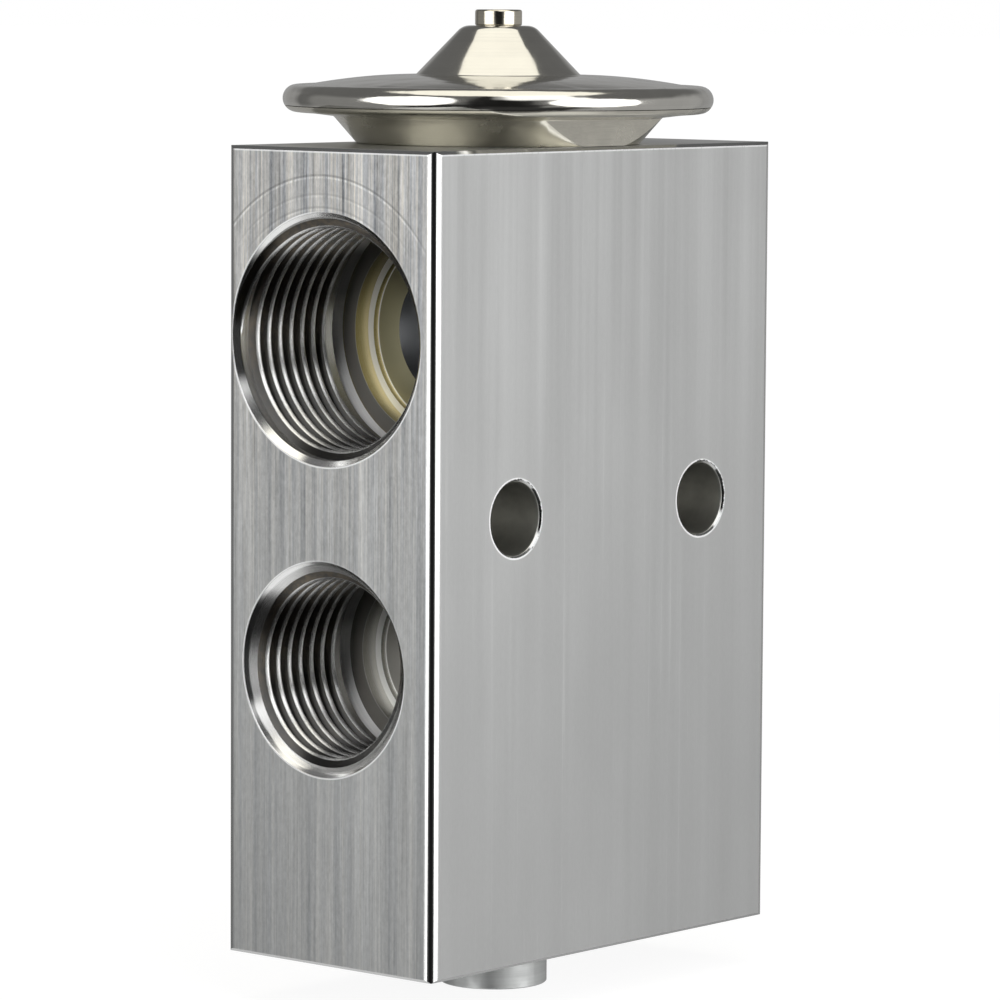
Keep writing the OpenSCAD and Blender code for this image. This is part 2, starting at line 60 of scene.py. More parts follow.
# Places read from the frame, in millimetres
block_low, block_high = (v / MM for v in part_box("valve_block"))
cover_low, cover_high = (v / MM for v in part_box("head_cover"))
AXIS_Y = (cover_low.y + cover_high.y) / 2
BLOCK_TOP = block_high.z
FRONT_Y = block_low.y
BACK_Y = block_high.y
MOUNTS = {m["name"]: m for m in frame["record"]["mounts"]}


def mount_mm(name):
    """Where a mount lies, in millimetres."""
    return Vector(MOUNTS[name]["pos_m"]) / MM


# Camera and stage

# The photograph's viewpoint: angles in degrees, lengths in millimetres
VIEW_AZIMUTH = 40.61
VIEW_YAW = -0.046
VIEW_PITCH = 5.597
VIEW_ROLL = 0.333
VIEW_DISTANCE = 492.2
VIEW_HEIGHT = 89.585
FOCAL_PX = 5233.5
PHOTO_PX = 1000
SENSOR_MM = 36


def make_camera():
    """The camera at the photograph's angle, with the photograph's frame."""
    bpy.context.scene.view_settings.view_transform = "Standard"
    azimuth = math.radians(VIEW_AZIMUTH)
    heading = math.radians(VIEW_AZIMUTH + VIEW_YAW)
    pitch = math.radians(VIEW_PITCH)
    eye = Vector((VIEW_DISTANCE * math.sin(azimuth), AXIS_Y - VIEW_DISTANCE * math.cos(azimuth),
                  block_low.z + VIEW_HEIGHT)) * MM
    forward = Vector((-math.sin(heading) * math.cos(pitch), math.cos(heading) * math.cos(pitch),
                      -math.sin(pitch)))
    right = forward.cross(Vector((0, 0, 1))).normalized()
    up = right.cross(forward)
    roll = math.radians(VIEW_ROLL)
    right, up = right * math.cos(roll) + up * math.sin(roll), up * math.cos(roll) - right * math.sin(roll)
    data = bpy.data.cameras.new("camera")
    data.sensor_width = SENSOR_MM
    data.lens = FOCAL_PX / PHOTO_PX * SENSOR_MM
    data.clip_start = 0.01
    data.clip_end = 50
    camera = bpy.data.objects.new("camera", data)
    camera.matrix_world = Matrix.Translation(eye) @ Matrix((right, up, -forward)).transposed().to_4x4()
    bpy.context.scene.collection.objects.link(camera)
    bpy.context.scene.camera = camera


class Graph:
    """A short way to write a node graph: every call adds a node and gives back its output."""

    def __init__(self, tree):
        self.tree = tree
        tree.nodes.clear()

    def add(self, kind, inputs=(), output=0, **settings):
        node = self.tree.nodes.new(kind)
        for name, value in settings.items():
            setattr(node, name, value)
        for key, value in dict(inputs).items():
            self.feed(node.inputs[key], value)
        return node.outputs[output]

    def feed(self, socket, value):
        if isinstance(value, bpy.types.NodeSocket):
            self.tree.links.new(value, socket)
        else:
            socket.default_value = value

    def math(self, operation, a, b=0.0, c=0.0):
        return self.add("ShaderNodeMath", {0: a, 1: b, 2: c}, operation=operation)

    def times(self, *factors):
        """The product of numbers."""
        product = factors[0]
        for factor in factors[1:]:
            product = self.math("MULTIPLY", product, factor)
        return product

    def plus(self, *terms):
        """The sum of numbers."""
        total = terms[0]
        for term in terms[1:]:
            total = self.math("ADD", total, term)
        return total

    def minus(self, a, b):
        return self.math("SUBTRACT", a, b)

    def rest(self, share):
        """What a share leaves of 1."""
        return self.math("SUBTRACT", 1.0, share)

    def either(self, *masks):
        """The largest of several masks."""
        largest = masks[0]
        for mask in masks[1:]:
            largest = self.math("MAXIMUM", largest, mask)
        return largest

    def near(self, a, middle, outer, inner):
        """1 where a lies within inner of middle, and 0 beyond outer."""
        return self.step(self.math("ABSOLUTE", self.minus(a, middle)), outer, inner)

    def vector(self, operation, a, b=(0, 0, 0), output=0):
        return self.add("ShaderNodeVectorMath", {0: a, 1: b}, output, operation=operation)

    def scaled(self, a, factor):
        return self.add("ShaderNodeVectorMath", {0: a, "Scale": factor}, operation="SCALE")

    def split(self, a):
        node = self.tree.nodes.new("ShaderNodeSeparateXYZ")
        self.feed(node.inputs[0], a)
        return node.outputs[0], node.outputs[1], node.outputs[2]

    def join(self, x, y, z):
        return self.add("ShaderNodeCombineXYZ", {0: x, 1: y, 2: z})

    def step(self, a, low, high, to_low=0.0, to_high=1.0):
        """A smooth step from to_low at low to to_high at high."""
        sockets = {"Value": a, "From Min": low, "From Max": high, "To Min": to_low, "To Max": to_high}
        return self.add("ShaderNodeMapRange", sockets, interpolation_type="SMOOTHSTEP")

    def spread(self, noise, to_low=-1.0, to_high=1.0):
        """A noise's usual range, 0.3 to 0.7, spread evenly over another range."""
        sockets = {"Value": noise, "From Min": 0.3, "From Max": 0.7, "To Min": to_low, "To Max": to_high}
        return self.add("ShaderNodeMapRange", sockets)

    def share(self, noise, low, high):
        """How far a noise lies from low to high, from 0 to 1."""
        return self.add("ShaderNodeMapRange", {"Value": noise, "From Min": low, "From Max": high})

    def noise(self, place, scale=1.0, detail=2.0, roughness=0.5):
        sockets = {"Vector": place, "Scale": scale, "Detail": detail, "Roughness": roughness}
        return self.add("ShaderNodeTexNoise", sockets)

    def stretched(self, place, scales, detail, roughness=0.5):
        """A noise with a scale of its own along each axis."""
        return self.noise(self.vector("MULTIPLY", place, scales), 1.0, detail, roughness)

    def place(self):
        """The place on a piece, in millimetres."""
        return self.scaled(self.add("ShaderNodeTexCoord", output="Object"), 1 / MM)

    def off_axis(self, place, centre, along):
        """The way from an axis through centre, along X, Y or Z, to a place, and how long it is."""
        across = tuple(0 if name == along else 1 for name in "XYZ")
        reach = self.vector("MULTIPLY", self.vector("SUBTRACT", place, centre), across)
        return reach, self.vector("LENGTH", reach, output="Value")

    def mix(self, factor, a, b):
        """A colour between a and b."""
        node = self.tree.nodes.new("ShaderNodeMix")
        node.data_type = "RGBA"
        self.feed(node.inputs["Factor"], factor)
        self.feed(node.inputs[6], a if isinstance(a, bpy.types.NodeSocket) else (*a, 1))
        self.feed(node.inputs[7], b if isinstance(b, bpy.types.NodeSocket) else (*b, 1))
        return node.outputs[2]

    def tint(self, colour, factor):
        """A colour times a number."""
        return self.vector("MULTIPLY", colour, self.join(factor, factor, factor))


def direction(azimuth, elevation):
    """A direction in the studio, counted from the front, -Y, towards the right, +X."""
    a, e = math.radians(azimuth), math.radians(elevation)
    return Vector((math.sin(a) * math.cos(e), -math.cos(a) * math.cos(e), math.sin(e)))


# The room: its brightness below and above, and the elevations between which one becomes the other
ROOM_FLOOR = 0.85
ROOM_WALL = 0.16
HORIZON = (-50, -12)

# Parts of the room that differ from its walls: middle azimuth, half width, lowest and highest
# elevation, in degrees, the softness of their edges and their brightness
ROOM_ZONES = [
    (139, 45, -60, 22, 16, 0.44),
    (-41, 40, -60, 22, 16, 0.28),
    (221, 40, -40, 18, 14, 0.36),
    (24, 40, -50, -10, 8, 0.03),
    (41, 17, -48, 60, 5, 0.015),
    (70, 28, 28, 62, 14, 1.7),
    (62, 34, -88, -30, 14, 0.04),
]

# The floor's half width in metres, and how far from the object it passes from paper to plain white:
# the share of its own glow and the strength of that glow, from one distance to the other
FLOOR_HALF = 8.0
PAPER_REACH = (0.06, 0.22)
GLOW_SHARE = (0.80, 1.0)
GLOW_STRENGTH = (1.12, 1.02)

# Softboxes: azimuth and elevation in degrees, distance, width and height in metres, and radiance
WARM = (1.0, 0.97, 0.87)
WHITE = (1.0, 1.0, 1.0)
SOFTBOXES = {
    "overhead": (41, 88, 0.9, 1.05, 1.05, 1.3, WARM),
    "front_left": (-8, 14, 0.9, 0.88, 1.2, 2.0, WHITE),
    "right_side": (94, 5, 0.9, 0.94, 1.05, 2.3, WHITE),
}


def make_world():
    """A studio room that lights the object and shows in its metal. The camera sees white in its place."""
    world = bpy.data.worlds.new("studio")
    world.use_nodes = True
    g = Graph(world.node_tree)
    ray = g.add("ShaderNodeTexCoord", output="Generated")
    x, y, z = g.split(ray)
    degree = math.degrees(1)
    elevation = g.times(g.math("ARCSINE", z), degree)
    azimuth = g.times(g.math("ARCTAN2", x, g.times(y, -1.0)), degree)
    light = g.step(elevation, *HORIZON, ROOM_FLOOR, ROOM_WALL)
    for middle, half, low, high, soft, brightness in ROOM_ZONES:
        offset = g.math("ABSOLUTE", g.math("WRAP", g.minus(azimuth, middle), -180, 180))
        inside = g.times(g.step(offset, half + soft / 2, half - soft / 2),
                         g.step(elevation, low - soft / 2, low + soft / 2),
                         g.step(elevation, high + soft / 2, high - soft / 2))
        light = g.plus(g.times(light, g.rest(inside)), g.times(inside, brightness))
    rays = world.node_tree.nodes.new("ShaderNodeLightPath").outputs
    light = g.either(light, rays["Is Camera Ray"])
    back = g.add("ShaderNodeBackground", {"Color": g.join(light, light, light)})
    out = world.node_tree.nodes.new("ShaderNodeOutputWorld")
    world.node_tree.links.new(back, out.inputs["Surface"])
    bpy.context.scene.world = world


def softbox(name, azimuth, elevation, distance, width, height, radiance, colour):
    """A lamp behind an oval diffuser, aimed at the middle of the block. Lengths in metres."""
    target = Vector((0, 0, 0.05))
    data = bpy.data.lights.new(name, "AREA")
    data.shape = "ELLIPSE"
    data.size = width
    data.size_y = height
    data.energy = radiance * math.pi * width * height * math.pi / 4
    data.color = colour
    lamp = bpy.data.objects.new(name, data)
    away = direction(azimuth, elevation)
    lamp.location = target + away * distance
    lamp.rotation_euler = away.to_track_quat("Z", "Y").to_euler()
    bpy.context.scene.collection.objects.link(lamp)


def make_stage():
    """A large pale floor, hidden from glossy rays, and the softboxes."""
    mesh = bpy.data.meshes.new("floor")
    corners = [(x * FLOOR_HALF, y * FLOOR_HALF, 0) for x, y in ((-1, -1), (1, -1), (1, 1), (-1, 1))]
    mesh.from_pydata(corners, [], [(0, 1, 2, 3)])
    floor = bpy.data.objects.new("floor", mesh)
    bpy.context.scene.collection.objects.link(floor)
    material = bpy.data.materials.new("floor_paper")
    material.use_nodes = True
    g = Graph(material.node_tree)
    rays = material.node_tree.nodes.new("ShaderNodeLightPath").outputs
    seen = g.either(rays["Is Camera Ray"], rays["Is Glossy Ray"], rays["Is Transmission Ray"])
    reach = g.vector("LENGTH", g.add("ShaderNodeTexCoord", output="Object"), output="Value")
    glow = g.step(reach, *PAPER_REACH, *GLOW_SHARE)
    strength = g.step(reach, *PAPER_REACH, *GLOW_STRENGTH)
    paper = g.add("ShaderNodeBsdfDiffuse", {"Color": (0.9, 0.9, 0.9, 1)})
    white = g.add("ShaderNodeEmission", {"Color": (1, 1, 1, 1), "Strength": strength})
    shown = g.add("ShaderNodeMixShader", {0: g.times(seen, glow), 1: paper, 2: white})
    out = material.node_tree.nodes.new("ShaderNodeOutputMaterial")
    material.node_tree.links.new(shown, out.inputs["Surface"])
    mesh.materials.append(material)
    floor.visible_glossy = False
    floor.visible_shadow = False
    for name, settings in SOFTBOXES.items():
        softbox(name, *settings)


make_camera()
make_world()
make_stage()


# Materials


def finish_shader(g, material, **inputs):
    """Adds the shader and the output."""
    shader = material.node_tree.nodes.new("ShaderNodeBsdfPrincipled")
    for name, value in inputs.items():
        g.feed(shader.inputs[name.replace("_", " ")], value)
    out = material.node_tree.nodes.new("ShaderNodeOutputMaterial")
    material.node_tree.links.new(shader.outputs[0], out.inputs["Surface"])
    return material


def new_graph(name):
    """A new material and the graph of its nodes."""
    material = bpy.data.materials.new(name)
    material.use_nodes = True
    return material, Graph(material.node_tree)


def across_grooves(g, groove):
    """The tangent that spreads a highlight across grooves of that direction."""
    normal = g.add("ShaderNodeNewGeometry", output="Normal")
    return g.vector("NORMALIZE", g.vector("CROSS_PRODUCT", normal, groove))


# Each port's mouth radius, bevel and depth of the shoulder, and the tints of its plain step and floor
GOLD = (0.86, 0.75, 0.42)
OLIVE = (0.33, 0.31, 0.20)
PALE = (0.62, 0.61, 0.57)
DULL = (0.36, 0.35, 0.32)
PORTS = {
    "suction_front_port": (11.6, 0.55, 14.8, GOLD, OLIVE),
    "suction_rear_port": (11.6, 0.55, 14.8, GOLD, OLIVE),
    "outlet_port": (9.95, 0.3, 14.0, PALE, DULL),
    "inlet_port": (8.9, 0.3, 12.4, PALE, DULL),
}

# How deep a port's seat cone reaches, the bolt holes' radius, and what still counts as an outer face
SEAT_DEPTH = 1.0
BOLT_RADIUS = 3.4
FACE_SKIN = 0.02

# In a port: the groove behind the thread with the lean of its wall, and the passage in the floor
RELIEF_LENGTH = 1.9
RELIEF_LEAN = 1.5
PASSAGE_TINT = (0.35, 0.36, 0.38)

# On a port's floor: the tints of a painted highlight ring and of the painted shade ring round it by the wall
FLOOR_HIGHLIGHT_RING = (0.95, 0.95, 0.92)
CORNER_SHADE_RING = (0.24, 0.23, 0.21)

# Radius and strength of the rub marks, and how far their centre lies from the port's
RUB_MARKS = [(15.1, 0.34), (13.4, 0.14), (12.2, 0.2)]
RUB_OFFSET = (-0.4, 0, -0.35)

# The tints of the faces and of turned metal, and the painted highlight and painted shadow on the edges
FACE_TINT = (0.605, 0.61, 0.605)
LOW_TINT = (0.585, 0.595, 0.59)
COOL_TINT = (0.555, 0.585, 0.63)
WARM_TINT = (0.63, 0.60, 0.54)
TURNED_TINT = (0.93, 0.93, 0.92)
# Painted shade: the dark tints of the thread flanks stand in for shade between the ridges
FLANK_SHADE_TINTS = ((0.085, 0.08, 0.07), (0.17, 0.14, 0.10))
HOLE_TINT = (0.83, 0.825, 0.785)
PAINTED_HIGHLIGHT = (0.97, 0.97, 0.97)
PAINTED_SHADOW = (0.02, 0.02, 0.02)

# The direction of the drawn lines, and how much more that of turned rings counts
DRAWN = (0.0, 0.001, 1.0)
GROOVE_WEIGHT = 50.0

# The noises of the outer faces: how fine they are along X, Y and Z, their detail and roughness
NOISES = {
    "broad": ((0.31, 0.37, 0.004), 5, 0.6),
    "narrow": ((1.9, 2.3, 0.012), 5, 0.85),
    "fine": ((3.3, 3.9, 0.05), 3, 0.8),
    "patch": ((0.5, 0.6, 0.07), 3, 0.6),
    "grain": ((4.0, 5.0, 1.6), 3, 0.7),
    "cloud": ((0.12, 0.12, 0.05), 2, 0.5),
}

# The middle of the lighter band over the near bolt hole
LIGHT_BAND_Y = -12.6

# How far below the top the painted highlight line lies, between which depths the painted dark reflection
# above it fades, and between which distances from the left face the corner does
TOP_HIGHLIGHT_DEPTH = 0.33
DARK_REFLECTION_FADE = (0.24, 0.16)
LEFT_CORNER = (0.45, 0.2)


class Surface:
    """What the block's finish goes by: the place on it, its direction, its kinds of face and noises."""

    def __init__(self, g):
        self.place = g.place()
        self.noises = {name: g.stretched(self.place, *settings) for name, settings in NOISES.items()}
        self.normal = g.add("ShaderNodeNewGeometry", output="Normal")
        self.x, self.y, self.z = g.split(self.place)
        self.nx, self.ny, self.nz = (g.math("ABSOLUTE", n) for n in g.split(self.normal))
        self.depth = g.minus(BACK_Y, g.math("ABSOLUTE", self.y))
        self.sunk = g.math("GREATER_THAN", self.depth, FACE_SKIN)
        self.port_face = g.times(g.step(self.ny, 0.97, 0.999), g.rest(self.sunk))
        self.side_face = g.step(self.nx, 0.97, 0.999)
        self.top_face = g.step(self.nz, 0.97, 0.999)
        self.facing = g.step(self.ny, 0.3, 0.6)


class Ports:
    """Where a port's parts lie, with what they change: rings round its axis, tinted inner steps, and painted
    highlights and shade.
    """

    def __init__(self, g, s):
        self.inside = 0.0
        self.inner = 0.0
        self.mouth = 0.0
        self.grooves = g.join(*DRAWN)
        self.from_axis = 0.0
        self.height = 0.0
        self.lean = 0.0
        self.rough = 0.0
        self.tint = g.join(0.0, 0.0, 0.0)
        for name, port in PORTS.items():
            self.add_port(g, s, name, *port)
        flank = g.times(g.step(s.ny, 0.74, 0.80), g.step(s.ny, 0.97, 0.93))
        self.flank = g.times(flank, self.inside, g.rest(self.inner))

    def add_port(self, g, s, name, radius, bevel_end, shoulder, step_tint, floor_tint):
        """Adds one port to every mask and value."""
        side = MOUNTS[name]["axis"][1]
        bore = MOUNTS[name]["dims"]["r_mm"]
        centre = mount_mm(name)
        reach, distance = g.off_axis(s.place, tuple(centre), "Y")
        above = g.math("DIVIDE", g.minus(s.z, centre.z), bore)
        this_side = g.math("GREATER_THAN", g.times(s.y, side), 0.0)
        here = g.times(g.math("LESS_THAN", distance, radius + FACE_SKIN), this_side, s.sunk)
        past = g.times(here, g.math("GREATER_THAN", s.depth, shoulder - 0.1))
        self.inside = g.plus(self.inside, here)
        self.inner = g.plus(self.inner, past)
        self.grooves = g.vector("ADD", self.grooves, ring_direction(g, (0, 1, 0), reach, here))
        self.from_axis = g.plus(self.from_axis, g.times(here, distance))
        self.height = g.plus(self.height, g.times(here, above))

        # A painted highlight on the lip of the mouth, faint at its upper outer corner
        corner = g.math("DIVIDE", g.vector("DOT_PRODUCT", reach, (-side, 0, 1), output="Value"), radius)
        lip = g.times(g.near(g.minus(distance, radius), 0.03, 0.11, 0.05), this_side,
                      g.step(corner, 1.1, 0.6, 0.15, 1.0), g.step(s.depth, 0.3, 0.1))
        self.mouth = g.either(self.mouth, lip)

        # The groove behind the thread
        band = g.times(g.math("GREATER_THAN", s.depth, shoulder - RELIEF_LENGTH), g.minus(here, past),
                       g.math("GREATER_THAN", distance, bore))
        self.lean = g.plus(self.lean, g.times(band, side * RELIEF_LEAN))
        polish = g.times(here, g.step(s.depth, bevel_end, bevel_end + 0.15, 0.12, 0.26))
        self.rough = g.plus(self.rough, polish, g.times(band, 0.2))

        # Past the shoulder: the floor's rings by radius, a painted highlight ring with painted shade by the
        # wall, the plain step with painted shade high up, and the passage
        shade = g.mix(g.step(distance, bore - 2.2, bore - 2.1), floor_tint, FLOOR_HIGHLIGHT_RING)
        shade = g.mix(g.step(distance, bore - 1.34, bore - 1.24), shade, CORNER_SHADE_RING)
        shaded_step = g.tint(g.join(*step_tint), g.step(above, 0.1, 0.6, 1.0, 0.4))
        shade = g.mix(s.facing, shaded_step, shade)
        shade = g.mix(g.step(distance, bore - 2.3, bore - 2.6), shade,
                      g.mix(s.facing, PASSAGE_TINT, floor_tint))
        self.tint = g.vector("ADD", self.tint, g.scaled(shade, past))


class BoltHoles:
    """Where the bolt holes lie: the wall, a painted highlight ring round it, and a painted shadow on that
    ring at its back.
    """

    def __init__(self, g, s):
        self.wall = 0.0
        self.ring = 0.0
        self.shadow = 0.0
        self.grooves = g.join(0.0, 0.0, 0.0)
        for side in (-1, 1):
            self.add_hole(g, s, side)
        self.ring = g.times(self.ring, g.rest(self.shadow))

    def add_hole(self, g, s, side):
        """Adds one hole to every mask."""
        centre = mount_mm("side_bolts")
        centre.y += side * MOUNTS["side_bolts"]["dims"]["spacing_x_mm"] / 2
        reach, distance = g.off_axis(s.place, tuple(centre), "X")
        here = g.math("LESS_THAN", distance, BOLT_RADIUS + 0.05)
        self.wall = g.plus(self.wall, here)
        self.grooves = g.vector("ADD", self.grooves, ring_direction(g, (1, 0, 0), reach, here))
        # Painted highlight: a bright ring on the bevel round the hole
        ring = g.times(g.step(distance, BOLT_RADIUS - 0.02, BOLT_RADIUS + 0.02),
                       g.step(distance, BOLT_RADIUS + 0.40, BOLT_RADIUS + 0.33), s.side_face)
        # Painted shadow on the ring at the hole's back, with a ragged edge
        ragged = g.times(g.spread(g.noise(s.place, 2.2, 3, 0.7)), 0.09)
        inner_ring = g.step(g.plus(distance, ragged), BOLT_RADIUS + 0.27, BOLT_RADIUS + 0.2)
        back = g.vector("DOT_PRODUCT", reach, (0, 1, 0.35), output="Value")
        low_back = g.vector("DOT_PRODUCT", reach, (0, 0.75, -0.65), output="Value")
        back_shadow = g.times(ring, inner_ring, g.step(back, 0.2, 1.2),
                        g.step(g.plus(low_back, g.times(ragged, 12.0)), 3.3, 2.7))
        self.shadow = g.either(self.shadow, back_shadow)
        self.ring = g.either(self.ring, ring)


def ring_direction(g, axis, reach, mask):
    """The direction of turned rings round an axis, where the mask is."""
    along = g.vector("NORMALIZE", g.vector("CROSS_PRODUCT", axis, reach))
    return g.scaled(along, g.times(mask, GROOVE_WEIGHT))


def face_colour(g, s):
    """The drawn faces: streaks along Z, strongest high on the port faces, painted shade towards the bottom
    and the upright edges, and rub marks over one port.
    """
    narrow, patch, grain = s.noises["narrow"], s.noises["patch"], s.noises["grain"]
    broad = g.spread(s.noises["broad"])
    fine = g.spread(s.noises["fine"])
    speck = g.spread(grain)

    # On the port faces: narrow and fine lines that come and go in turn, stronger towards the top
    streak = g.plus(g.times(g.spread(narrow), g.step(patch, 0.35, 0.6, 0.08, 0.62)),
                    g.times(fine, g.step(patch, 0.62, 0.4, 0.10, 0.50)),
                    g.times(broad, 0.30))
    streak = g.plus(g.times(streak, g.step(s.z, 22, 74, 0.36, 0.95)),
                    g.times(speck, g.step(s.z, 20, 76, 0.09, 0.16)))

    # On the side faces: faint broad lines, single bright ones and the lighter band
    over_hole = g.times(g.near(s.y, LIGHT_BAND_Y, 3.4, 2.8), g.step(s.z, 34, 50), g.step(s.x, 0.0, 1.0))
    plain = g.plus(g.times(broad, g.step(s.z, 45, 76, 0.03, 0.12)), g.times(speck, 0.02),
                   g.times(over_hole, 0.05), g.times(g.step(narrow, 0.60, 0.66), 0.08))
    shade = g.plus(1.0, g.plus(g.times(streak, s.port_face), g.times(plain, s.side_face)))

    # Painted shade: darker towards the bottom, and on the port faces towards their upright edges
    painted_falloff = g.plus(g.times(s.port_face, g.step(s.z, 5, 36, 0.93, 0.945),
                          g.step(g.math("ABSOLUTE", s.x), 13, 9, 0.86, 1.0)),
                  g.times(g.rest(s.port_face), g.step(s.z, 5, 75, 0.92, 1.0)))
    shade = g.times(shade, g.spread(s.noises["cloud"], 0.97, 1.03), painted_falloff)
    hue = g.mix(g.share(narrow, 0.35, 0.65), COOL_TINT, WARM_TINT)
    hue = g.mix(g.step(s.z, 30, 76, 0.25, 1.0), LOW_TINT, hue)
    colour = g.tint(g.mix(s.port_face, FACE_TINT, hue), shade)

    # The rub marks, each a light line with a dark one outside it
    centre = mount_mm("suction_front_port") + Vector(RUB_OFFSET)
    distance = g.off_axis(s.place, tuple(centre), "Y")[1]
    worn = g.times(s.port_face, g.math("LESS_THAN", s.y, 0.0), g.step(s.z, centre.z + 7, centre.z + 12),
                   g.step(grain, 0.3, 0.6, 0.4, 1.0))
    for radius, strength in RUB_MARKS:
        light = g.near(distance, radius, 0.16, 0.04)
        dark = g.near(distance, radius + 0.2, 0.16, 0.04)
        colour = g.tint(colour, g.plus(1.0, g.times(g.minus(light, dark), worn, strength)))
    return colour


def port_colour(g, s, ports):
    """The ports' walls: turned rings, thread flanks darkened with painted shade, painted shade by height,
    and the tinted inner steps.
    """
    rings = g.noise(g.join(g.times(ports.from_axis, 9.0), g.times(s.y, 9.0), 0.0), 1.0, 2)
    colour = g.tint(g.join(*TURNED_TINT), g.spread(rings, 0.92, 1.04))
    # Painted shade on the thread flanks, darkest below the axis and lighter above it
    flank_noise = g.stretched(s.place, (1.5, 1.5, 1.5), 4, 0.7)
    flank_shade = g.mix(g.share(flank_noise, 0.4, 0.6), *FLANK_SHADE_TINTS)
    shaded_flanks = g.tint(flank_shade, g.step(ports.height, -0.5, 0.5, 0.12, 1.3))
    colour = g.mix(g.times(ports.flank, 0.93), colour, shaded_flanks)
    # Painted shade: the walls darken above the axis, and brighten again near the top
    height_shade = g.plus(g.step(ports.height, 0.06, 0.36, 1.0, 0.3), g.step(ports.height, 0.62, 0.8, 0.0, 0.7))
    return g.mix(ports.inner, g.tint(colour, height_shade), ports.tint)


def hole_colour(g, s):
    """The bolt holes' dull walls, darker at their top and bottom with painted shade."""
    dull = g.spread(g.stretched(s.place, (0.8, 0.8, 0.8), 3), 0.93, 1.07)
    off_middle = g.math("ABSOLUTE", g.minus(s.z, mount_mm("side_bolts").z))
    return g.tint(g.join(*HOLE_TINT), g.times(dull, g.step(off_middle, 1.0, BOLT_RADIUS, 1.0, 0.7)))


def block_material():
    """Drawn and milled aluminium: vertical streaks outside, turned rings in the ports."""
    material, g = new_graph("block_aluminium")
    s = Surface(g)
    ports = Ports(g, s)
    holes = BoltHoles(g, s)
    colour = g.mix(ports.inside, face_colour(g, s), port_colour(g, s, ports))
    colour = g.mix(holes.wall, colour, hole_colour(g, s))

    # Painted highlights on the edges: the ports' mouths, the bolt holes' rings and a line under the top,
    # with a painted dark reflection above it, and the painted shadow at the holes' backs
    below_top = g.minus(BLOCK_TOP, s.z)
    # The painted highlight line runs whole on the port faces and breaks into burr glints on the side faces
    broken = g.step(s.noises["grain"], 0.36, 0.44, 0.25, 1.0)
    upright = g.plus(s.port_face, g.times(s.side_face, broken))
    top_highlight = g.times(g.near(below_top, TOP_HIGHLIGHT_DEPTH, 0.15, 0.07), upright, 0.75)
    dark_reflection_line = g.times(g.step(below_top, *DARK_REFLECTION_FADE), s.port_face)
    highlight_mask = g.either(ports.mouth, holes.ring, top_highlight)
    colour = g.mix(highlight_mask, colour, PAINTED_HIGHLIGHT)
    colour = g.mix(g.either(holes.shadow, g.times(dark_reflection_line, 0.9)), colour, PAINTED_SHADOW)

    # Rougher on the flat faces and at the left corner than on what lies inside
    flat = g.plus(s.port_face, s.side_face, s.top_face)
    corner_reach = (block_low.x + inset for inset in LEFT_CORNER)
    left_corner = g.times(g.step(s.x, *corner_reach), g.rest(flat))
    uneven = g.times(g.spread(s.noises["narrow"], -0.5, 0.5), 0.05)
    roughness = g.plus(0.08, g.times(g.plus(flat, left_corner), 0.24), uneven)
    port_roughness = g.plus(ports.rough, g.times(ports.inner, s.facing, 0.15))
    for mask, value in ((ports.inside, port_roughness), (holes.wall, 0.4), (highlight_mask, 0.4)):
        roughness = g.plus(g.times(roughness, g.rest(mask)), g.times(mask, value))
    bent = g.vector("NORMALIZE", g.vector("ADD", s.normal, g.join(0.0, ports.lean, 0.0)))
    grooves = g.vector("ADD", ports.grooves, holes.grooves)
    return finish_shader(g, material, Base_Color=colour, Metallic=1.0, Roughness=roughness, Normal=bent,
                         Specular_Tint=g.mix(holes.wall, (1.0, 1.0, 1.0), (0.6, 0.6, 0.57)),
                         Anisotropic=g.times(g.plus(0.6, g.times(ports.inside, 0.3)), g.rest(holes.wall)),
                         Tangent=across_grooves(g, grooves))


def turned_metal(name, colour, roughness, wear=0.04, ring_scale=6.0, anisotropic=0.4, dent=0.0):
    """Metal turned around the valve axis, with faint rings and, in millimetres, shallow dents."""
    material, g = new_graph(name)
    place = g.place()
    reach, distance = g.off_axis(place, (0, AXIS_Y, 0), "Z")
    z = g.split(place)[2]
    rings = g.noise(g.join(g.times(distance, ring_scale), g.times(z, ring_scale), 0.0), 1.0, 2)
    cloud = g.noise(place, 0.35, 3, 0.6)
    shade = g.times(g.spread(rings, 1 - wear, 1 + wear), g.spread(cloud, 1 - wear, 1 + wear))
    rough = g.plus(roughness, g.times(g.spread(cloud), roughness * 0.3))
    waves = g.add("ShaderNodeBump", {"Height": g.noise(place, 0.22, 1.5, 0.5), "Distance": dent * MM})
    return finish_shader(g, material, Base_Color=g.tint(g.join(*colour), shade), Metallic=1.0,
                         Roughness=rough, Anisotropic=anisotropic, Normal=waves,
                         Tangent=across_grooves(g, g.vector("CROSS_PRODUCT", (0, 0, 1), reach)))


def soft_material(name, colour, roughness):
    """Rubber or plastic with a faint mottle."""
    material, g = new_graph(name)
    mottle = g.noise(g.place(), 1.5, 3)
    return finish_shader(g, material, Base_Color=g.tint(g.join(*colour), g.spread(mottle, 0.85, 1.15)),
                         Metallic=0.0, Roughness=g.spread(mottle, roughness - 0.06, roughness + 0.06))


